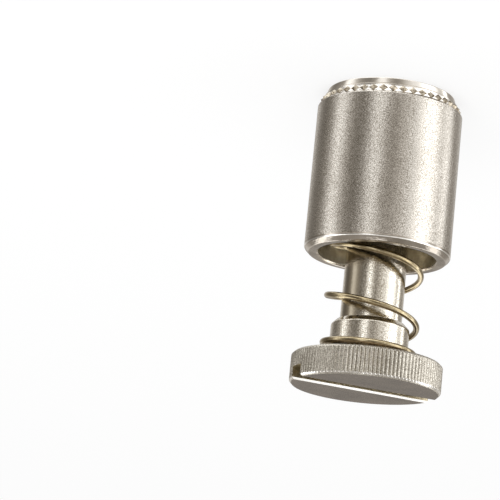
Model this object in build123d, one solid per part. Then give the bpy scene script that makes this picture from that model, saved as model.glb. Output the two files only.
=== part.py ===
from build123d import *
import os
from math import cos, pi, radians, sin

# Captive panel screw, in millimetres: a press-in retainer, a slotted and knurled thumb
# screw that the retainer holds captive, and the compression spring that lifts the screw.
# +Z runs up the common axis.  The part stands on the retainer's pilot face at z = 0 with
# the knurled head on top, and the screw is at the top of its travel.

# ---- Screw ----
THREAD_DIAMETER = 6.35          # quarter-inch thread, over the crests
THREAD_LENGTH = 4.9
TIP_CHAMFER = 0.8
THREAD_END_CHAMFER = 0.3        # at the shoulder that the web holds back
NECK_RELIEF = 0.675             # neck below the thread crests, on the radius
BOSS_LENGTH = 3.1
BOSS_CHAMFER = 0.45
HEAD_DIAMETER = 12.2            # over the knurl
HEAD_THICKNESS = 2.4
HEAD_CHAMFER = 0.2
HEAD_KNURL_PITCH = 0.333
HEAD_KNURL_DEPTH = 0.12
SLOT_WIDTH = 1.6
SLOT_DEPTH = 1.0
TRAVEL = 8.5                    # head to barrel, the stroke of the screw

# ---- Retainer ----
BARREL_LENGTH = 12.46           # panel seat to open end
BARREL_WALL = 1.15              # round the spring bore
BARREL_CHAMFER = 0.38           # outer edge of the open end
BORE_CHAMFER = 0.12             # inner edge of the open end
WEB_THICKNESS = 2.0
SEAT_WIDTH = 0.32               # panel seat outside the knurled ring
SEAT_EDGE = 0.19                # chamfer outside the seat
RING_LENGTH = 0.56              # knurled press ring
RING_TAPER = 0.12               # its drop in radius towards the panel
RING_KNURL_PITCH = 0.82
RING_KNURL_HEIGHT = 0.24
LEDGE_LENGTH = 0.1              # plain strip under the knurl
UNDERCUT_LENGTH = 0.12
UNDERCUT_DEPTH = 0.25
PILOT_LENGTH = 0.45
PILOT_WALL = 0.75
PILOT_EDGE = 0.05
MOUTH_DEPTH = 0.55              # counterbore in the pilot face
MOUTH_STEP = 0.25
TIP_RECESS = 0.7                # screw tip above the pilot face

# ---- Spring ----
WIRE_DIAMETER = 0.5
ACTIVE_TURNS = 2.95
CLOSED_TURNS = 1.15             # at each end
CLOSED_GAP = 0.06               # between closed turns
BLEND_TURNS = 0.9               # over which the pitch opens
HEAD_END_ANGLE = 342.5          # where the wire ends at the head, degrees from +X
POINTS_PER_TURN = 16

# ---- Clearances ----
NECK_CLEARANCE = 0.12           # neck in the web's hole, on the radius
CAPTIVE_GAP = 0.1               # thread shoulder to web
SPRING_SEAT_GAP = 0.03          # wire to web and to head
SPRING_OVER_BOSS = 0.275        # boss to wire, on the radius
SPRING_IN_BORE = 0.85           # wire to bore, on the radius
THREAD_IN_CHAMBER = 1.075       # thread crests to chamber, on the radius

# ---- Radii that follow ----
THREAD_RADIUS = THREAD_DIAMETER / 2
BOSS_RADIUS = THREAD_RADIUS
NECK_RADIUS = THREAD_RADIUS - NECK_RELIEF
HEAD_RADIUS = HEAD_DIAMETER / 2
COIL_RADIUS = BOSS_RADIUS + SPRING_OVER_BOSS + WIRE_DIAMETER / 2
BORE_RADIUS = COIL_RADIUS + WIRE_DIAMETER / 2 + SPRING_IN_BORE
BARREL_RADIUS = BORE_RADIUS + BARREL_WALL
WEB_HOLE_RADIUS = NECK_RADIUS + NECK_CLEARANCE
CHAMBER_RADIUS = THREAD_RADIUS + THREAD_IN_CHAMBER
MOUTH_RADIUS = CHAMBER_RADIUS + MOUTH_STEP
PILOT_RADIUS = MOUTH_RADIUS + PILOT_WALL
UNDERCUT_RADIUS = PILOT_RADIUS - UNDERCUT_DEPTH
RING_TOP_RADIUS = BARREL_RADIUS - SEAT_WIDTH
RING_BOTTOM_RADIUS = RING_TOP_RADIUS - RING_TAPER

# ---- Heights that follow ----
UNDERCUT_TOP = PILOT_LENGTH + UNDERCUT_LENGTH
LEDGE_TOP = UNDERCUT_TOP + LEDGE_LENGTH
SEAT_Z = LEDGE_TOP + RING_LENGTH
OPEN_END_Z = SEAT_Z + BARREL_LENGTH
THREAD_TOP = TIP_RECESS + THREAD_LENGTH
WEB_BOTTOM = THREAD_TOP + CAPTIVE_GAP
WEB_TOP = WEB_BOTTOM + WEB_THICKNESS
HEAD_BOTTOM = OPEN_END_Z + TRAVEL
HEAD_TOP = HEAD_BOTTOM + HEAD_THICKNESS
BOSS_BOTTOM = HEAD_BOTTOM - BOSS_LENGTH


def turned(*outline):
    """A solid of revolution about Z from an outline of (radius, height) points."""
    profile = make_face(Polyline(*[(radius, 0, height) for radius, height in outline], close=True))
    return revolve(profile, Axis.Z)


# ---------------------------------------------------------------- retainer
def retainer_body():
    """The turned blank: pilot, undercut, ledge, press ring, barrel, both bores and the web."""
    return turned(
        (MOUTH_RADIUS, 0),
        (PILOT_RADIUS - PILOT_EDGE, 0),
        (PILOT_RADIUS, PILOT_EDGE),
        (PILOT_RADIUS, PILOT_LENGTH),
        (UNDERCUT_RADIUS, PILOT_LENGTH),
        (UNDERCUT_RADIUS, UNDERCUT_TOP),
        (RING_BOTTOM_RADIUS, UNDERCUT_TOP),
        (RING_BOTTOM_RADIUS, LEDGE_TOP),
        (RING_TOP_RADIUS, SEAT_Z),
        (BARREL_RADIUS - SEAT_EDGE, SEAT_Z),
        (BARREL_RADIUS, SEAT_Z + SEAT_EDGE),
        (BARREL_RADIUS, OPEN_END_Z - BARREL_CHAMFER),
        (BARREL_RADIUS - BARREL_CHAMFER, OPEN_END_Z),
        (BORE_RADIUS + BORE_CHAMFER, OPEN_END_Z),
        (BORE_RADIUS, OPEN_END_Z - BORE_CHAMFER),
        (BORE_RADIUS, WEB_TOP),
        (WEB_HOLE_RADIUS, WEB_TOP),
        (WEB_HOLE_RADIUS, WEB_BOTTOM),
        (CHAMBER_RADIUS, WEB_BOTTOM),
        (CHAMBER_RADIUS, MOUTH_DEPTH),
        (MOUTH_RADIUS, MOUTH_DEPTH),
    )


def knurl_pyramid(half_angle):
    """One raised diamond of the press ring, centred on +X: four facets outside, four sunk in the ring."""
    sunk = 0.02
    middle_radius = (RING_BOTTOM_RADIUS + RING_TOP_RADIUS) / 2
    middle_z = (LEDGE_TOP + SEAT_Z) / 2
    side_radius = middle_radius - sunk
    left = Vector(side_radius * cos(half_angle), side_radius * sin(half_angle), middle_z)
    right = Vector(left.X, -left.Y, middle_z)
    bottom = Vector(RING_BOTTOM_RADIUS - sunk, 0, LEDGE_TOP + sunk)
    top = Vector(RING_TOP_RADIUS - sunk, 0, SEAT_Z - sunk)
    crest = Vector(middle_radius + RING_KNURL_HEIGHT, 0, middle_z)
    root = Vector(middle_radius - RING_KNURL_HEIGHT, 0, middle_z)
    belt = [top, left, bottom, right]
    facets = [
        Face(Wire.make_polygon([apex, belt[i], belt[(i + 1) % 4]]))
        for apex in (crest, root)
        for i in range(4)
    ]
    return Solid(Shell(facets))


def make_retainer():
    count = round(2 * pi * RING_TOP_RADIUS / RING_KNURL_PITCH)
    pyramid = knurl_pyramid(0.98 * pi / count)
    knurl = [pyramid.rotate(Axis.Z, 360 * i / count) for i in range(count)]
    return retainer_body() + knurl


# ---------------------------------------------------------------- screw
def head_blank():
    """The head disc with its straight V ridges, before chamfering."""
    count = round(pi * HEAD_DIAMETER / HEAD_KNURL_PITCH)
    root_radius = HEAD_RADIUS - HEAD_KNURL_DEPTH
    points = []
    for i in range(count):
        crest, valley = 2 * pi * i / count, 2 * pi * (i + 0.5) / count
        points.append((HEAD_RADIUS * cos(crest), HEAD_RADIUS * sin(crest)))
        points.append((root_radius * cos(valley), root_radius * sin(valley)))
    ridged = make_face(Polyline(*points, close=True))
    return Pos(0, 0, HEAD_BOTTOM) * extrude(ridged, HEAD_THICKNESS)


def head_envelope():
    """The chamfered disc that trims the ends of the ridges."""
    over = HEAD_CHAMFER
    return turned(
        (0, HEAD_BOTTOM),
        (HEAD_RADIUS - HEAD_CHAMFER, HEAD_BOTTOM),
        (HEAD_RADIUS + over, HEAD_BOTTOM + HEAD_CHAMFER + over),
        (HEAD_RADIUS + over, HEAD_TOP - HEAD_CHAMFER - over),
        (HEAD_RADIUS - HEAD_CHAMFER, HEAD_TOP),
        (0, HEAD_TOP),
    )


def driver_slot():
    """The straight slot across the head, along X."""
    slot = Box(3 * HEAD_RADIUS, SLOT_WIDTH, 2 * SLOT_DEPTH)
    return Pos(0, 0, HEAD_TOP) * slot


def shank():
    """Threaded end, neck and boss, sunk a little into the head."""
    return turned(
        (0, TIP_RECESS),
        (THREAD_RADIUS - TIP_CHAMFER, TIP_RECESS),
        (THREAD_RADIUS, TIP_RECESS + TIP_CHAMFER),
        (THREAD_RADIUS, THREAD_TOP - THREAD_END_CHAMFER),
        (THREAD_RADIUS - THREAD_END_CHAMFER, THREAD_TOP),
        (NECK_RADIUS, THREAD_TOP),
        (NECK_RADIUS, BOSS_BOTTOM),
        (BOSS_RADIUS - BOSS_CHAMFER, BOSS_BOTTOM),
        (BOSS_RADIUS, BOSS_BOTTOM + BOSS_CHAMFER),
        (BOSS_RADIUS, HEAD_BOTTOM + SLOT_DEPTH / 4),
        (0, HEAD_BOTTOM + SLOT_DEPTH / 4),
    )


def make_screw():
    head = (head_blank() & head_envelope()) - driver_slot()
    return head + shank()


# ---------------------------------------------------------------- spring
def opened(turns):
    """How many turns' worth of opening lie behind, past a smooth change of pitch centred on 0."""
    x = min(max(turns / BLEND_TURNS + 0.5, 0), 1)
    beyond = max(turns - BLEND_TURNS / 2, 0)
    return BLEND_TURNS * (x ** 3 - x ** 4 / 2) + beyond


def wire_points():
    """Points along the wire's centre from the head down to the web, closed at both ends."""
    top = HEAD_BOTTOM - SPRING_SEAT_GAP - WIRE_DIAMETER / 2
    bottom = WEB_TOP + SPRING_SEAT_GAP + WIRE_DIAMETER / 2
    turns = ACTIVE_TURNS + 2 * CLOSED_TURNS
    closed_pitch = WIRE_DIAMETER + CLOSED_GAP
    opening = (top - bottom - closed_pitch * turns) / ACTIVE_TURNS
    steps = round(turns * POINTS_PER_TURN)
    points = []
    for i in range(steps + 1):
        turn = turns * i / steps
        drop = closed_pitch * turn
        drop += opening * (opened(turn - CLOSED_TURNS) - opened(turn - CLOSED_TURNS - ACTIVE_TURNS))
        angle = radians(HEAD_END_ANGLE) + 2 * pi * turn
        points.append((COIL_RADIUS * cos(angle), COIL_RADIUS * sin(angle), top - drop))
    return points


def make_spring():
    centreline = Spline(*wire_points())
    section = (centreline ^ 0) * Circle(WIRE_DIAMETER / 2)
    return sweep(section, path=centreline)


def save(node, shape):
    """One node, one STEP file."""
    solids = shape.solids()
    export_step(Compound(children=solids, label=node) if len(solids) > 1 else solids[0], f"parts/{node}.step")
    print(node, len(solids), "solid, volume", round(shape.volume, 3), "mm3")


os.makedirs("parts", exist_ok=True)
save("retainer", make_retainer())
save("screw", make_screw())
save("spring", make_spring())
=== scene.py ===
from math import atan, cos, floor, pi, radians, sin

import bmesh
import bpy
from mathutils import Matrix, Vector


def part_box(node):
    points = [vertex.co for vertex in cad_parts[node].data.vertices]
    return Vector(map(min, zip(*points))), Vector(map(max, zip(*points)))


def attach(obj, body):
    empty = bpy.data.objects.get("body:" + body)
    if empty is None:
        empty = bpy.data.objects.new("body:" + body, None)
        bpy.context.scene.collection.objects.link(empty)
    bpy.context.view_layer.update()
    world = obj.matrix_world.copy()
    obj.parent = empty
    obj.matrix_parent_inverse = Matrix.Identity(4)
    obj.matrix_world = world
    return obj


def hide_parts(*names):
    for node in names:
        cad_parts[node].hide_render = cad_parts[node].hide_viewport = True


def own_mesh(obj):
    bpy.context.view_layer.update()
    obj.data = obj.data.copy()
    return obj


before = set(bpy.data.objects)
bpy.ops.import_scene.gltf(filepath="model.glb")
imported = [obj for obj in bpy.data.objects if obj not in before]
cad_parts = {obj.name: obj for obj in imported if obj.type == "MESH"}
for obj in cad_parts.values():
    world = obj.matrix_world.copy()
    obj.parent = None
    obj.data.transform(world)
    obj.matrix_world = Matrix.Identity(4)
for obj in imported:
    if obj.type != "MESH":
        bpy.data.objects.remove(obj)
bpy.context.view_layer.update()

# The dressed model of the captive panel screw: a press-in retainer, a slotted and knurled
# thumb screw and the spring between them.  Lengths are in millimetres up to the last step of
# each mesh, and places along the axis come from the frame's boxes.

MM = 0.001


def span(node):
    """Lowest and highest place of a CAD node along the axis, and its radius, in millimetres."""
    low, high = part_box(node)
    return low[2] / MM, high[2] / MM, high[0] / MM


# ---- Places from the frame ----
_, OPEN_END, BARREL_RADIUS = span("retainer")
TIP_Z, HEAD_TOP, HEAD_RADIUS = span("screw")
WIRE_LOW, WIRE_HIGH, WIRE_OUTSIDE = span("spring")

# ---- Retainer ----
PILOT_RADIUS = 5.25
PILOT_LENGTH = 0.45
UNDERCUT_RADIUS = 5.00
UNDERCUT_TOP = 0.57
LEDGE_TOP = 0.67
RING_BOTTOM_RADIUS = 5.51
RING_TOP_RADIUS = 5.63
SEAT_Z = 1.23
SEAT_EDGE = 0.19
RING_POINTS = 43
RING_POINT_HEIGHT = 0.24
STEPS_PER_POINT = 6             # mesh columns and rows over one point of the ring
BARREL_CHAMFER = 0.38
SHOULDER = OPEN_END - BARREL_CHAMFER    # where the barrel's open-end chamfer starts
LINE_DEPTH = 0.05               # of the fine turned line just below the shoulder
BORE_RADIUS = 4.8
BORE_CHAMFER = 0.12
WEB_TOP = 7.7
WEB_BOTTOM = 5.7
WEB_HOLE_RADIUS = 2.62
CHAMBER_RADIUS = 4.25
MOUTH_RADIUS = 4.5
MOUTH_DEPTH = 0.55
GROOVE_PITCH = 0.28             # of the fine grooves in the lower chamber
GROOVE_DEPTH = 0.05

# ---- Screw ----
HEAD_THICKNESS = 2.4
HEAD_CHAMFER = 0.2
HEAD_RIDGES = 115
RIDGE_DEPTH = 0.12
WORN_LEAST = radians(-74)       # where the ridges are worn least
BOSS_RADIUS = 3.175
BOSS_LENGTH = 3.1
BOSS_CHAMFER = 0.45
NECK_RADIUS = 2.5
THREAD_RADIUS = 3.175
THREAD_ROOT = 2.52
THREAD_LENGTH = 4.9
THREAD_PITCH = 1.27
THREAD_ROWS = 96                # of mesh along it
THREAD_END_CHAMFER = 0.3
TIP_CHAMFER = 0.8
SLOT_WIDTH = 1.6
SLOT_DEPTH = 1.0
SLOT_EDGE = 0.075               # width of its broken edges
SLOT_EDGE_DEPTH = 0.17
HEAD_BOTTOM = HEAD_TOP - HEAD_THICKNESS
UNDERSIDE = HEAD_BOTTOM + 0.01  # clear of the open end when the screw is right down
BOSS_BOTTOM = HEAD_BOTTOM - BOSS_LENGTH
THREAD_TOP = TIP_Z + THREAD_LENGTH

# ---- Spring ----
WIRE_RADIUS = 0.25
COIL_RADIUS = WIRE_OUTSIDE - WIRE_RADIUS
ACTIVE_TURNS = 2.95
CLOSED_TURNS = 1.15
CLOSED_PITCH = 0.56
BLEND_TURNS = 0.9
HEAD_END_ANGLE = 342.5          # of its end under the head, in degrees
STEPS_PER_TURN = 96             # of mesh along the wire
WIRE_SIDES = 20                 # and round it


# ------------------------------------------------------------------ meshes
def filleted(corners, steps=4):
    """(radius, height) points of an open outline, its corners (radius, height, fillet) rounded."""
    points = []
    for i, (x, z, fillet) in enumerate(corners):
        if fillet == 0 or i in (0, len(corners) - 1):
            points.append((x, z))
            continue
        here = Vector((x, z))
        back = Vector(corners[i - 1][:2]) - here
        ahead = Vector(corners[i + 1][:2]) - here
        reach = min(fillet, 0.45 * back.length, 0.45 * ahead.length)
        start = here + back.normalized() * reach
        end = here + ahead.normalized() * reach
        for k in range(steps + 1):
            t = k / steps
            point = start * (1 - t) ** 2 + here * 2 * t * (1 - t) + end * t ** 2
            points.append((point.x, point.y))
    return points


class Loft:
    """Rings of points joined one to the next, with a material for each band of faces."""

    def __init__(self):
        self.verts = []
        self.faces = []
        self.kinds = []
        self.rings = []

    def ring(self, count, radius, height):
        """A ring about Z.  radius and height are numbers or functions of the angle."""
        start = len(self.verts)
        for i in range(count):
            angle = 2 * pi * i / count
            r = radius(angle) if callable(radius) else radius
            z = height(angle) if callable(height) else height
            self.verts.append((r * cos(angle) * MM, r * sin(angle) * MM, z * MM))
        self.rings.append((start, count))
        return len(self.rings) - 1

    def face(self, kind, *corners):
        self.faces.append(corners)
        self.kinds.append(kind)

    def band(self, a, b, kind):
        """Faces from ring a to ring b, which has as many points or twice as many."""
        (start_a, count_a), (start_b, count_b) = self.rings[a], self.rings[b]
        if count_a == count_b:
            for i in range(count_a):
                j = (i + 1) % count_a
                self.face(kind, start_a + i, start_a + j, start_b + j, start_b + i)
            return
        for i in range(count_a):
            a0, a1 = start_a + i, start_a + (i + 1) % count_a
            b0, b1, b2 = (start_b + (2 * i + k) % count_b for k in range(3))
            self.face(kind, b1, b0, a0)
            self.face(kind, a1, b1, a0)
            self.face(kind, b2, b1, a1)

    def cap(self, ring, kind, height, up):
        """A fan that closes a ring at its middle."""
        start, count = self.rings[ring]
        middle = len(self.verts)
        self.verts.append((0, 0, height * MM))
        for i in range(count):
            j = (i + 1) % count
            if up:
                self.face(kind, start + i, start + j, middle)
            else:
                self.face(kind, start + j, start + i, middle)

    def object(self, name, materials, sharp=30):
        mesh = bpy.data.meshes.new(name)
        mesh.from_pydata(self.verts, [], self.faces)
        names = list(materials)
        for material in materials.values():
            mesh.materials.append(material)
        mesh.polygons.foreach_set("material_index", [names.index(kind) for kind in self.kinds])
        mesh.validate()
        return finished(name, mesh, sharp)


def finished(name, mesh, sharp):
    """An object from a mesh, smooth but for the edges sharper than that angle."""
    mesh.polygons.foreach_set("use_smooth", [True] * len(mesh.polygons))
    mesh.set_sharp_from_angle(angle=radians(sharp))
    piece = bpy.data.objects.new(name, mesh)
    bpy.context.scene.collection.objects.link(piece)
    return piece


# ------------------------------------------------------------------ materials
def tree(name):
    material = bpy.data.materials.new(name)
    material.use_nodes = True
    material.node_tree.nodes.clear()
    return material, material.node_tree


def node(nodes, kind, **values):
    """A new node; lower-case words are its settings, others are its sockets' values."""
    made = nodes.nodes.new(kind)
    for key, value in values.items():
        if key.islower():
            setattr(made, key, value)
        else:
            made.inputs[key.replace("_", " ")].default_value = value
    return made


def link(nodes, source, target):
    nodes.links.new(source, target)


def math(nodes, operation, a, b=None, c=None):
    made = nodes.nodes.new("ShaderNodeMath")
    made.operation = operation
    for i, value in enumerate((a, b, c)):
        if value is None:
            continue
        if isinstance(value, (int, float)):
            made.inputs[i].default_value = value
        else:
            nodes.links.new(value, made.inputs[i])
    return made.outputs[0]


def noise(nodes, vector, scale, detail=2.0, stretch=(1, 1, 1)):
    """Noise with features of about 1/scale millimetres, stretched along the axes."""
    mapping = node(nodes, "ShaderNodeMapping")
    mapping.inputs["Scale"].default_value = [scale * s / MM for s in stretch]
    link(nodes, vector, mapping.inputs["Vector"])
    texture = node(nodes, "ShaderNodeTexNoise", Scale=1.0, Detail=detail)
    link(nodes, mapping.outputs[0], texture.inputs["Vector"])
    return texture.outputs["Fac"]


def ranged(nodes, value, low, high, new_low, new_high):
    made = node(nodes, "ShaderNodeMapRange")
    made.clamp = True
    for key, number in zip(("From Min", "From Max", "To Min", "To Max"),
                           (low, high, new_low, new_high)):
        made.inputs[key].default_value = number
    link(nodes, value, made.inputs["Value"])
    return made.outputs[0]


def mixed_colour(nodes, factor, a, b):
    made = node(nodes, "ShaderNodeMix", data_type="RGBA")
    link(nodes, factor, made.inputs["Factor"])
    made.inputs[6].default_value = (*a, 1)
    made.inputs[7].default_value = (*b, 1)
    return made.outputs[2]


def blended(nodes, factor, a, b):
    """a where the factor is 0 and b where it is 1.  All three are sockets or numbers."""
    made = node(nodes, "ShaderNodeMix", data_type="FLOAT")
    for key, value in (("Factor", factor), (2, a), (3, b)):
        if isinstance(value, (int, float)):
            made.inputs[key].default_value = value
        else:
            link(nodes, value, made.inputs[key])
    return made.outputs[0]


def bump(nodes, height, distance, below=None):
    made = node(nodes, "ShaderNodeBump")
    made.inputs["Strength"].default_value = 1.0
    made.inputs["Distance"].default_value = distance * MM
    link(nodes, height, made.inputs["Height"])
    if below is not None:
        link(nodes, below, made.inputs["Normal"])
    return made.outputs[0]


def metal(name, dark, light, rough, marks=(), sparkle=(), patch=0.35, painted_shade_strip=()):
    """A plated metal.

    dark and light are its colours, and rough is its roughness.  marks are (depth in mm, features
    to a millimetre, stretch along X, Y and Z) of the bumps that cover it.  sparkle is (share,
    features to a millimetre) of the grains that take their share of the colour's change.  The last
    argument is (side, full, none) for a strip of painted shade in the dark colour: the way that it
    faces, and the degrees to either side of that where it starts to fade and where it ends.
    """
    material, nodes = tree(name)
    place = node(nodes, "ShaderNodeTexCoord").outputs["Object"]
    shader = node(nodes, "ShaderNodeBsdfPrincipled", Metallic=1.0)
    output = node(nodes, "ShaderNodeOutputMaterial")
    link(nodes, shader.outputs[0], output.inputs[0])
    blend = ranged(nodes, noise(nodes, place, patch, detail=4.0), 0.35, 0.65, 0, 1)
    if sparkle:
        share, scale = sparkle
        grain = ranged(nodes, noise(nodes, place, scale, detail=1.0), 0.40, 0.60, 0, 1)
        blend = blended(nodes, share, blend, grain)
    # a strip of painted shade in the dark colour, by the way that the surface faces
    if painted_shade_strip:
        side, full, none = (radians(degrees) for degrees in painted_shade_strip)
        level = node(nodes, "ShaderNodeVectorMath", operation="MULTIPLY")
        level.inputs[1].default_value = (1, 1, 0)
        unit = node(nodes, "ShaderNodeVectorMath", operation="NORMALIZE")
        facing = node(nodes, "ShaderNodeVectorMath", operation="DOT_PRODUCT")
        facing.inputs[1].default_value = (cos(side), sin(side), 0)
        link(nodes, place, level.inputs[0])
        link(nodes, level.outputs[0], unit.inputs[0])
        link(nodes, unit.outputs[0], facing.inputs[0])
        strip = ranged(nodes, facing.outputs["Value"], cos(none), cos(full), 0, 1)
        blend = blended(nodes, strip, blend, 0.0)
    normal = None
    for depth, scale, stretch in marks:
        normal = bump(nodes, noise(nodes, place, scale, detail=1.5, stretch=stretch), depth, normal)
    link(nodes, mixed_colour(nodes, blend, dark, light), shader.inputs["Base Color"])
    link(nodes, ranged(nodes, blend, 0, 1, rough * 1.15, rough * 0.85), shader.inputs["Roughness"])
    if normal is not None:
        link(nodes, normal, shader.inputs["Normal"])
    return material


GRAIN = (1, 1, 1.3)             # as broad as it is long
STREAK = (0.3, 0.3, 1)          # drawn out round the axis
WALL = metal("retainer_wall", (0.27, 0.24, 0.195), (0.83, 0.79, 0.73), 0.18,
             marks=[(0.012, 15.0, GRAIN), (0.012, 9.0, STREAK)], sparkle=(0.9, 18.0))
FACED = metal("retainer_faced", (0.36, 0.32, 0.27), (0.64, 0.59, 0.525), 0.14,
              marks=[(0.012, 9.0, STREAK)])
PILOT = metal("retainer_pilot", (0.60, 0.56, 0.50), (0.84, 0.80, 0.74), 0.12,
              marks=[(0.008, 7.0, STREAK)])
INSIDE = metal("retainer_inside", (0.64, 0.57, 0.43), (1.0, 0.94, 0.79), 0.34,
               marks=[(0.030, 5.0, STREAK)], patch=1.0)
# The press ring's cone between its points takes a lighter copy of the nickel as painted light, and
# the points' facets and the bore's edge take a darker one as painted shade.
RING_PAINTED_LIGHT = metal("retainer_ring_painted_light", (0.80, 0.77, 0.72), (0.92, 0.90, 0.86), 0.18,
             marks=[(0.010, 8.0, GRAIN)])
PAINTED_SHADE = metal("painted_shade", (0.18, 0.14, 0.09), (0.60, 0.54, 0.44), 0.16,
              marks=[(0.014, 8.0, GRAIN)], sparkle=(0.6, 4.0))
SHANK_MARKS = [(0.007, 11.0, GRAIN), (0.006, 9.0, STREAK)]
SHANK = metal("screw_shank", (0.38, 0.335, 0.265), (0.98, 0.94, 0.85), 0.13,
              marks=SHANK_MARKS, sparkle=(0.85, 16.0))
# The neck carries a strip of painted shade, darker on the side that it faces.
NECK = metal("screw_neck", (0.36, 0.315, 0.24), (0.98, 0.94, 0.85), 0.13,
             marks=SHANK_MARKS, sparkle=(0.85, 16.0), painted_shade_strip=(-20, 12, 26))
KNURL = metal("screw_knurl", (0.26, 0.235, 0.19), (0.78, 0.74, 0.66), 0.36,
              marks=[(0.014, 12.0, GRAIN)], sparkle=(0.8, 14.0))
FACE = metal("screw_face", (0.12, 0.095, 0.075), (0.32, 0.268, 0.215), 0.19,
             marks=[(0.008, 9.0, GRAIN)], sparkle=(0.5, 14.0))
# A painted highlight in a bright colour for thin edges: the barrel's shoulder, the ridges' ends and
# the slot's broken edges.
EDGE_HIGHLIGHT = metal("painted_edge_highlight", (0.80, 0.77, 0.72), (0.96, 0.95, 0.92), 0.16, sparkle=(0.6, 6.0))
CUT = metal("slot_inside", (0.24, 0.20, 0.125), (0.52, 0.455, 0.315), 0.34,
            marks=[(0.030, 6.0, GRAIN)], patch=1.5)
WIRE = metal("spring_wire", (0.27, 0.21, 0.115), (0.52, 0.44, 0.29), 0.13,
             marks=[(0.004, 8.0, GRAIN)], sparkle=(0.5, 9.0))


# ------------------------------------------------------------------ retainer
def across(step):
    """-1 to 1 over the ring point that a mesh column or row is in."""
    half = STEPS_PER_POINT / 2
    return (step + half) % STEPS_PER_POINT / half - 1


def ring_height(u, v):
    """Height of one point of the press ring, u and v from -1 to 1 across it."""
    return RING_POINT_HEIGHT * max(0, 1 - abs(u) - abs(v))


def ring_row(loft, last, now, row):
    """One row of the press ring's faces, split along the edges of its points."""
    (start_a, count), (start_b, _) = loft.rings[last], loft.rings[now]
    step = 2 / STEPS_PER_POINT
    low = (row - 1) * step - 1
    high = row * step - 1
    for i in range(count):
        j = (i + 1) % count
        left = across(i)
        right = left + step
        a, b, c, d = ((start_a + i, left, low), (start_a + j, right, low),
                      (start_b + j, right, high), (start_b + i, left, high))
        rising = (left + right) * (low + high) > 0
        for triangle in ((a, b, d), (b, c, d)) if rising else ((a, b, c), (a, c, d)):
            verts, us, vs = zip(*triangle)
            # the points' facets take the painted shade, and the cone between them the painted light
            loft.face("point" if abs(sum(us)) + abs(sum(vs)) < 3 else "ring", *verts)


def make_retainer():
    count = RING_POINTS * STEPS_PER_POINT
    loft = Loft()

    def rings(corners, kind, before):
        """The rings of an outline, joined to the ring before it.  Gives the last."""
        for r, z in filleted(corners):
            now = loft.ring(count, r, z)
            if before is not None:
                loft.band(before, now, kind)
            before = now
        return before

    # up the outside
    last = rings([
        (MOUTH_RADIUS, 0, 0),
        (PILOT_RADIUS, 0, 0.07),
        (PILOT_RADIUS, PILOT_LENGTH, 0.03),
        (UNDERCUT_RADIUS, PILOT_LENGTH, 0.03),
        (UNDERCUT_RADIUS, UNDERCUT_TOP, 0.03),
        (RING_BOTTOM_RADIUS, UNDERCUT_TOP, 0.03),
        (RING_BOTTOM_RADIUS, LEDGE_TOP, 0),
    ], "pilot", None)
    for row in range(1, STEPS_PER_POINT + 1):
        share = row / STEPS_PER_POINT
        base = RING_BOTTOM_RADIUS + (RING_TOP_RADIUS - RING_BOTTOM_RADIUS) * share

        def radius(angle, v=2 * share - 1, base=base):
            return base + ring_height(across(round(angle * count / (2 * pi))), v)

        now = loft.ring(count, radius, LEDGE_TOP + (SEAT_Z - LEDGE_TOP) * share)
        ring_row(loft, last, now, row)
        last = now
    last = rings([
        (BARREL_RADIUS - SEAT_EDGE, SEAT_Z, 0),
        (BARREL_RADIUS, SEAT_Z + SEAT_EDGE, 0.04),
        (BARREL_RADIUS, SHOULDER - 0.2, 0),
    ], "wall", last)
    # the turned line, the shoulder with its painted highlight, and the chamfer and rim that were
    # faced
    last = rings([
        (BARREL_RADIUS - LINE_DEPTH, SHOULDER - 0.11, 0),
        (BARREL_RADIUS, SHOULDER - 0.08, 0),
        (BARREL_RADIUS, SHOULDER - 0.05, 0),
    ], "faced", last)
    last = rings([(BARREL_RADIUS - 0.05, SHOULDER + 0.05, 0)], "worn", last)
    last = rings([
        (BARREL_RADIUS - 0.1, SHOULDER + 0.1, 0),
        (BARREL_RADIUS - BARREL_CHAMFER, OPEN_END, 0.1),
        (BORE_RADIUS + BORE_CHAMFER, OPEN_END, 0),
    ], "faced", last)
    # down the inside
    # the bore's edge takes the painted shade
    last = rings([
        (BORE_RADIUS + 0.8 * BORE_CHAMFER, OPEN_END - 0.1 * BORE_CHAMFER, 0),
        (BORE_RADIUS, OPEN_END - BORE_CHAMFER, 0),
    ], "point", last)
    last = rings([
        (BORE_RADIUS, WEB_TOP, 0),
        (WEB_HOLE_RADIUS, WEB_TOP, 0.06),
        (WEB_HOLE_RADIUS, WEB_BOTTOM, 0.06),
        (CHAMBER_RADIUS, WEB_BOTTOM, 0.08),
        (CHAMBER_RADIUS, WEB_BOTTOM - 0.3, 0),
    ], "inside", last)
    top = WEB_BOTTOM - 0.35
    for i in range(floor((top - MOUTH_DEPTH - 0.1) / GROOVE_PITCH)):
        z = top - i * GROOVE_PITCH
        last = rings([
            (CHAMBER_RADIUS, z, 0),
            (CHAMBER_RADIUS + GROOVE_DEPTH, z - GROOVE_PITCH * 0.3, 0),
            (CHAMBER_RADIUS, z - GROOVE_PITCH * 0.6, 0),
        ], "inside", last)
    last = rings([
        (CHAMBER_RADIUS, MOUTH_DEPTH + 0.05, 0),
        (CHAMBER_RADIUS, MOUTH_DEPTH, 0.03),
        (MOUTH_RADIUS, MOUTH_DEPTH, 0.03),
        (MOUTH_RADIUS, 0.1, 0),
    ], "inside", last)
    loft.band(last, 0, "faced")
    return loft.object("retainer_body", {
        "wall": WALL, "faced": FACED, "worn": EDGE_HIGHLIGHT, "inside": INSIDE,
        "ring": RING_PAINTED_LIGHT, "point": PAINTED_SHADE, "pilot": PILOT,
    })


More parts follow.
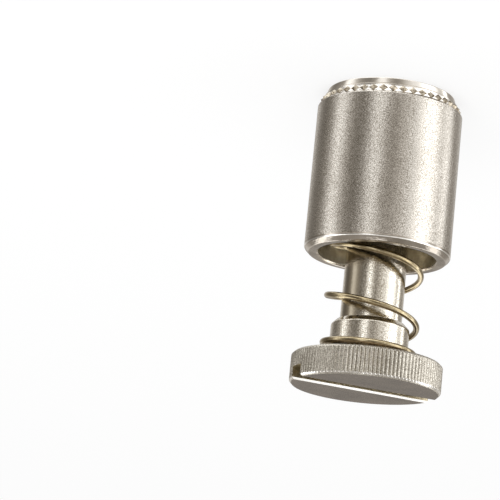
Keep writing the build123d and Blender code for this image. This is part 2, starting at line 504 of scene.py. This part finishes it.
# ------------------------------------------------------------------ screw
def knurled(angle):
    """Radius of the knurled edge at an angle: crowned ridges with V grooves between."""
    phase = abs((angle * HEAD_RIDGES / (2 * pi) + 0.5) % 1 - 0.5) * 2
    worn = 0.4 + 0.6 * (0.5 + 0.5 * cos(2 * (angle - WORN_LEAST))) ** 4
    return HEAD_RADIUS - RIDGE_DEPTH * worn * (0.2 * phase + 0.8 * max(0, (phase - 0.6) / 0.4))


def thread_radius(angle, z):
    """Radius of the right-hand thread, with flats at its crest and root."""
    phase = abs((z / THREAD_PITCH - angle / (2 * pi)) % 1 - 0.5) * 2
    crest_flat, root_flat = 0.125, 0.25
    share = min(max((phase - root_flat) / (1 - crest_flat - root_flat), 0), 1)
    return THREAD_ROOT + (THREAD_RADIUS - THREAD_ROOT) * share


def make_screw():
    fine = 8 * HEAD_RIDGES
    coarse = fine // 2
    loft = Loft()
    flat = HEAD_RADIUS - HEAD_CHAMFER   # radius of the head's flat faces
    root = HEAD_RADIUS - RIDGE_DEPTH
    rise = HEAD_CHAMFER - RIDGE_DEPTH   # of the chamfer, up to the ridges' roots

    def half_way(angle):
        """Radius half way up the part of the chamfer that cuts the ridges."""
        return min(knurled(angle), root + RIDGE_DEPTH / 2)

    rings = [
        (flat, HEAD_TOP),
        (root, HEAD_TOP - rise),
        (half_way, HEAD_TOP - rise - RIDGE_DEPTH / 2),
        (knurled, HEAD_TOP - HEAD_CHAMFER),
        (knurled, (HEAD_TOP + HEAD_BOTTOM) / 2),
        (knurled, HEAD_BOTTOM + HEAD_CHAMFER),
        (half_way, HEAD_BOTTOM + rise + RIDGE_DEPTH / 2),
        (root, HEAD_BOTTOM + rise),
        (flat, UNDERSIDE),
    ]
    last = None
    for i, (radius, height) in enumerate(rings):
        now = loft.ring(fine, radius, height)
        if last is not None:
            # the ridges' ends get a painted highlight round the slotted face
            loft.band(now, last, "worn" if i in (2, 3) else "knurl")
        last = now
    loft.cap(0, "face", HEAD_TOP, up=True)
    under = loft.ring(coarse, BOSS_RADIUS + 0.08, UNDERSIDE)
    loft.band(under, last, "face")
    last = under
    outline = [
        (BOSS_RADIUS, HEAD_BOTTOM - 0.08, 0),
        (BOSS_RADIUS, BOSS_BOTTOM + BOSS_CHAMFER, 0.1),
        (BOSS_RADIUS - BOSS_CHAMFER, BOSS_BOTTOM, 0.06),
        (NECK_RADIUS, BOSS_BOTTOM, 0.06),
        (NECK_RADIUS, THREAD_TOP, 0),
    ]
    for r, z in filleted(outline):
        now = loft.ring(coarse, r, z)
        loft.band(now, last, "neck" if z == THREAD_TOP else "shank")
        last = now
    for row in range(THREAD_ROWS + 1):
        z = THREAD_TOP - THREAD_LENGTH * row / THREAD_ROWS
        limit = min(THREAD_RADIUS - max(0, z - THREAD_TOP + THREAD_END_CHAMFER),
                    THREAD_RADIUS - max(0, TIP_Z + TIP_CHAMFER - z))

        def radius(angle, z=z, limit=limit):
            return min(thread_radius(angle, z), limit)

        now = loft.ring(coarse, radius, z)
        loft.band(now, last, "shank")
        last = now
    loft.cap(last, "shank", TIP_Z, up=False)
    screw = loft.object("screw_body", {
        "knurl": KNURL, "face": FACE, "shank": SHANK, "neck": NECK, "worn": EDGE_HIGHLIGHT,
    })
    cut_slot(screw)
    return screw


def cut_slot(screw):
    """The driver slot, right across the head along X, with broken edges."""
    half = SLOT_WIDTH / 2
    floor_z = HEAD_TOP - SLOT_DEPTH
    over = 0.5                  # the cutter stands this far over the face
    wide = half + SLOT_EDGE * (1 + over / SLOT_EDGE_DEPTH)
    shoulder = HEAD_TOP - SLOT_EDGE_DEPTH
    outline = [(-half, floor_z), (half, floor_z), (half, shoulder),
               (wide, HEAD_TOP + over), (-wide, HEAD_TOP + over), (-half, shoulder)]
    reach = HEAD_RADIUS + 1
    mesh = bpy.data.meshes.new("slot_cutter")
    verts = [(x * MM, y * MM, z * MM) for x in (-reach, reach) for y, z in outline]
    count = len(outline)
    faces = [tuple(reversed(range(count))), tuple(range(count, 2 * count))]
    faces += [(i, (i + 1) % count, count + (i + 1) % count, count + i) for i in range(count)]
    edges = (4, 6)              # the faces that cut the broken edges
    mesh.from_pydata(verts, [], faces)
    mesh.materials.append(CUT)
    mesh.materials.append(EDGE_HIGHLIGHT)
    # the broken edges take the painted highlight
    mesh.polygons.foreach_set("material_index", [int(i in edges) for i in range(len(faces))])
    mesh.validate()
    bm = bmesh.new()
    bm.from_mesh(mesh)
    bmesh.ops.recalc_face_normals(bm, faces=bm.faces)
    bm.to_mesh(mesh)
    bm.free()
    cutter = bpy.data.objects.new("slot_cutter", mesh)
    bpy.context.scene.collection.objects.link(cutter)
    modifier = screw.modifiers.new("slot", "BOOLEAN")
    modifier.operation = "DIFFERENCE"
    modifier.solver = "EXACT"
    modifier.object = cutter
    modifier.material_mode = "TRANSFER"
    depsgraph = bpy.context.evaluated_depsgraph_get()
    cut = bpy.data.meshes.new_from_object(screw.evaluated_get(depsgraph))
    screw.modifiers.clear()
    old = screw.data
    screw.data = cut
    bpy.data.meshes.remove(old)
    bpy.data.objects.remove(cutter)
    bpy.data.meshes.remove(mesh)
    screw.data.polygons.foreach_set("use_smooth", [True] * len(screw.data.polygons))
    screw.data.set_sharp_from_angle(angle=radians(30))


# ------------------------------------------------------------------ spring
def opened(turns):
    """How many turns' worth of opening lie behind, past a smooth change of pitch centred on 0."""
    x = min(max(turns / BLEND_TURNS + 0.5, 0), 1)
    beyond = max(turns - BLEND_TURNS / 2, 0)
    return BLEND_TURNS * (x ** 3 - x ** 4 / 2) + beyond


def make_spring():
    """The wire swept down a left-hand helix from the head to the web."""
    turns = ACTIVE_TURNS + 2 * CLOSED_TURNS
    top = WIRE_HIGH - WIRE_RADIUS
    opening = (WIRE_HIGH - WIRE_LOW - 2 * WIRE_RADIUS - CLOSED_PITCH * turns) / ACTIVE_TURNS
    steps = round(turns * STEPS_PER_TURN)
    line = []
    for i in range(steps + 1):
        turn = turns * i / steps
        drop = CLOSED_PITCH * turn
        drop += opening * (opened(turn - CLOSED_TURNS) - opened(turn - CLOSED_TURNS - ACTIVE_TURNS))
        angle = radians(HEAD_END_ANGLE) + 2 * pi * turn
        line.append(Vector((COIL_RADIUS * cos(angle), COIL_RADIUS * sin(angle), top - drop)))
    verts, faces = [], []
    for i, point in enumerate(line):
        ahead = line[min(i + 1, steps)] - line[max(i - 1, 0)]
        out = Vector((point.x, point.y, 0)).normalized()
        side = ahead.normalized().cross(out).normalized()
        for k in range(WIRE_SIDES):
            angle = 2 * pi * k / WIRE_SIDES
            verts.append((point + (out * cos(angle) + side * sin(angle)) * WIRE_RADIUS) * MM)
    for i in range(steps):
        for k in range(WIRE_SIDES):
            a, b = i * WIRE_SIDES + k, i * WIRE_SIDES + (k + 1) % WIRE_SIDES
            faces.append((a, b, b + WIRE_SIDES, a + WIRE_SIDES))
    faces.append(tuple(reversed(range(WIRE_SIDES))))
    faces.append(tuple(range(steps * WIRE_SIDES, (steps + 1) * WIRE_SIDES)))
    mesh = bpy.data.meshes.new("spring_coil")
    mesh.from_pydata([tuple(v) for v in verts], [], faces)
    mesh.materials.append(WIRE)
    mesh.validate()
    return finished("spring_coil", mesh, 40)


retainer = make_retainer()
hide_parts("retainer")
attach(retainer, "retainer")

screw = make_screw()
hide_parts("screw")
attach(screw, "screw")

spring = make_spring()
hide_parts("spring")
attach(spring, "spring")
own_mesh(spring)


# ------------------------------------------------------------------ stage
AZIMUTH = radians(24)         # the camera's place, from the -Y side towards +X
ELEVATION = radians(14.24)
ROLL = radians(185.28)
DISTANCE = 200.0
AIM_HEIGHT = 12.92
FOCAL = 2461.0                  # in widths of a pixel
FRAME_SIZE = 500
OFF_CENTRE = (127.46, -1.14)    # where the aim point shows, right of and below the middle


def make_camera():
    forward = Vector((-sin(AZIMUTH) * cos(ELEVATION), cos(AZIMUTH) * cos(ELEVATION),
                      -sin(ELEVATION)))
    right = Vector((cos(AZIMUTH), sin(AZIMUTH), 0))
    up = right.cross(forward)
    x_axis = right * cos(ROLL) + up * sin(ROLL)
    y_axis = up * cos(ROLL) - right * sin(ROLL)
    turn = Matrix((x_axis, y_axis, -forward)).transposed().to_4x4()
    place = (Vector((0, 0, AIM_HEIGHT)) - forward * DISTANCE) * MM
    pan = Matrix.Rotation(atan(OFF_CENTRE[0] / FOCAL), 4, "Y")
    tilt = Matrix.Rotation(atan(OFF_CENTRE[1] / FOCAL), 4, "X")
    data = bpy.data.cameras.new("camera")
    data.sensor_width = 36
    data.lens = FOCAL * data.sensor_width / FRAME_SIZE
    data.clip_start = 0.005
    data.clip_end = 20
    camera = bpy.data.objects.new("camera", data)
    camera.matrix_world = Matrix.Translation(place) @ turn @ pan @ tilt
    bpy.context.scene.collection.objects.link(camera)
    bpy.context.scene.camera = camera


FLOOR_RADIUS = 4000.0
FLOOR_SIDES = 96
FLOOR_GLOW = 0.75               # share of its own white in the floor that is seen


def make_floor():
    """A pale round floor, hidden from the metal, which reflects the world's panels instead."""
    material, nodes = tree("floor")
    plain = node(nodes, "ShaderNodeBsdfDiffuse", Color=(0.82, 0.82, 0.82, 1))
    glow = node(nodes, "ShaderNodeEmission", Color=(1, 1, 1, 1), Strength=1.0)
    mix = node(nodes, "ShaderNodeMixShader")
    path = node(nodes, "ShaderNodeLightPath")
    seen = math(nodes, "ADD", path.outputs["Is Camera Ray"], path.outputs["Is Glossy Ray"])
    seen = math(nodes, "ADD", seen, path.outputs["Is Transmission Ray"])
    link(nodes, math(nodes, "MULTIPLY", seen, FLOOR_GLOW), mix.inputs["Fac"])
    output = node(nodes, "ShaderNodeOutputMaterial")
    link(nodes, plain.outputs[0], mix.inputs[1])
    link(nodes, glow.outputs[0], mix.inputs[2])
    link(nodes, mix.outputs[0], output.inputs[0])
    mesh = bpy.data.meshes.new("floor")
    turns = [2 * pi * i / FLOOR_SIDES for i in range(FLOOR_SIDES)]
    verts = [(FLOOR_RADIUS * cos(turn) * MM, FLOOR_RADIUS * sin(turn) * MM, 0) for turn in turns]
    mesh.from_pydata(verts, [], [tuple(range(FLOOR_SIDES))])
    mesh.materials.append(material)
    made = bpy.data.objects.new("floor", mesh)
    bpy.context.scene.collection.objects.link(made)
    made.visible_glossy = False


def make_lamp(name, azimuth, elevation, distance, size, power):
    """A square lamp that faces the origin.  Angles are in degrees and lengths in millimetres."""
    data = bpy.data.lights.new(name, "AREA")
    data.shape = "SQUARE"
    data.size = size * MM
    data.energy = power
    lamp = bpy.data.objects.new(name, data)
    a, e = radians(azimuth), radians(elevation)
    place = Vector((cos(a) * cos(e), sin(a) * cos(e), sin(e))) * distance * MM
    lamp.visible_glossy = False
    aim = place.to_track_quat("Z", "Y").to_matrix().to_4x4()
    lamp.matrix_world = Matrix.Translation(place) @ aim
    bpy.context.scene.collection.objects.link(lamp)


# What the metal reflects: soft panels all round, by the side that they are on.  Degrees are round
# from behind the camera, more to the right in the picture, and each has its panel's level.
PANELS = [
    (-180, 0.38), (-172, 0.42), (-162, 0.70), (-152, 0.52), (-140, 0.34), (-130, 0.22),
    (-120, 0.22), (-110, 0.30), (-100, 0.42), (-95, 0.62), (-91, 1.30), (-86, 1.55), (-80, 1.35),
    (-72, 0.85), (-63, 0.42), (-54, 0.28), (-44, 0.24), (-35, 0.34), (-28, 0.60), (-23, 1.30),
    (-15, 1.40), (-9, 0.76), (-5, 0.62), (0, 0.44), (7, 0.36), (14, 0.46), (22, 0.66), (30, 0.82),
    (40, 1.00), (48, 1.28), (56, 1.75), (64, 2.20), (72, 2.40), (80, 2.30), (86, 1.70),
    (92, 1.05), (99, 0.95), (105, 1.50), (110, 2.30), (114, 1.90), (118, 0.80), (122, 0.44),
    (130, 0.38), (140, 0.40), (150, 0.48), (160, 0.70), (170, 0.45), (180, 0.38),
]
# The row of panels above those.
UPPER_PANELS = [
    (-180, 2.40), (-150, 2.60), (-120, 2.60), (-70, 2.40), (-50, 0.90), (-30, 1.00), (0, 1.10),
    (30, 1.00), (50, 0.90), (70, 2.40), (120, 2.60), (150, 2.40), (180, 2.40),
]
UPPER_RANGE = (26, 34)          # degrees up over which the upper panels take over
ROOF_RANGE = (40, 47)           # the plain roof over them
ROOF_LEVEL = 0.40
LIGHT_RANGE = (78, 84)          # and the light right overhead
LIGHT_LEVEL = 2.2
# The white table below them, shaded on some sides.
TABLE_LEVELS = [
    (-180, 1.60), (-150, 1.50), (-115, 1.60), (-60, 1.80), (0, 2.20), (60, 1.60), (115, 0.24),
    (150, 0.60), (180, 1.60),
]
TABLE_RANGE = (-36, -44)
DARK_TINT = (1.08, 1.0, 0.90)   # of the panels' darkest parts


def panel_level(nodes, share, levels):
    """A level read from its table, smooth between the rows."""
    top = max(level for _, level in levels)
    made = node(nodes, "ShaderNodeFloatCurve")
    link(nodes, share, made.inputs["Value"])
    points = made.mapping.curves[0].points
    for (degrees, level), end in zip((levels[0], levels[-1]), (points[0], points[-1])):
        end.location = (degrees / 360 + 0.5, level / top)
    for degrees, level in levels[1:-1]:
        points.new(degrees / 360 + 0.5, level / top)
    made.mapping.update()
    return math(nodes, "MULTIPLY", made.outputs[0], top)


def make_world():
    """Plain white, but the metal reflects the studio's panels."""
    world = bpy.data.worlds.new("studio")
    world.use_nodes = True
    nodes = world.node_tree
    nodes.nodes.clear()
    turned = node(nodes, "ShaderNodeMapping")
    turned.inputs["Rotation"].default_value = (0, 0, pi / 2 - AZIMUTH)
    link(nodes, node(nodes, "ShaderNodeTexCoord").outputs["Generated"], turned.inputs["Vector"])
    parts = node(nodes, "ShaderNodeSeparateXYZ")
    link(nodes, turned.outputs[0], parts.inputs[0])
    turn = math(nodes, "ARCTAN2", parts.outputs[1], parts.outputs[0])
    share = math(nodes, "ADD", math(nodes, "DIVIDE", turn, -2 * pi), 0.5)
    rise = math(nodes, "ARCSINE", parts.outputs[2])
    level = panel_level(nodes, share, PANELS)
    for (start, end), other in ((UPPER_RANGE, panel_level(nodes, share, UPPER_PANELS)),
                                (ROOF_RANGE, ROOF_LEVEL), (LIGHT_RANGE, LIGHT_LEVEL),
                                (TABLE_RANGE, panel_level(nodes, share, TABLE_LEVELS))):
        taken = ranged(nodes, rise, radians(start), radians(end), 0, 1)
        level = blended(nodes, taken, level, other)
    tint = mixed_colour(nodes, ranged(nodes, level, 0.2, 1.2, 0, 1), DARK_TINT, (1, 1, 1))
    glossy = node(nodes, "ShaderNodeLightPath").outputs["Is Glossy Ray"]
    colour = node(nodes, "ShaderNodeMix", data_type="RGBA")
    link(nodes, glossy, colour.inputs["Factor"])
    colour.inputs[6].default_value = (1, 1, 1, 1)
    link(nodes, tint, colour.inputs[7])
    background = node(nodes, "ShaderNodeBackground")
    link(nodes, colour.outputs[2], background.inputs["Color"])
    link(nodes, blended(nodes, glossy, 1.0, level), background.inputs["Strength"])
    output = node(nodes, "ShaderNodeOutputWorld")
    link(nodes, background.outputs[0], output.inputs[0])
    bpy.context.scene.world = world


make_camera()
make_floor()
make_lamp("key", -60, 55, 400, 250, 0.6)
make_world()

scene = bpy.context.scene
scene.view_settings.view_transform = "Standard"
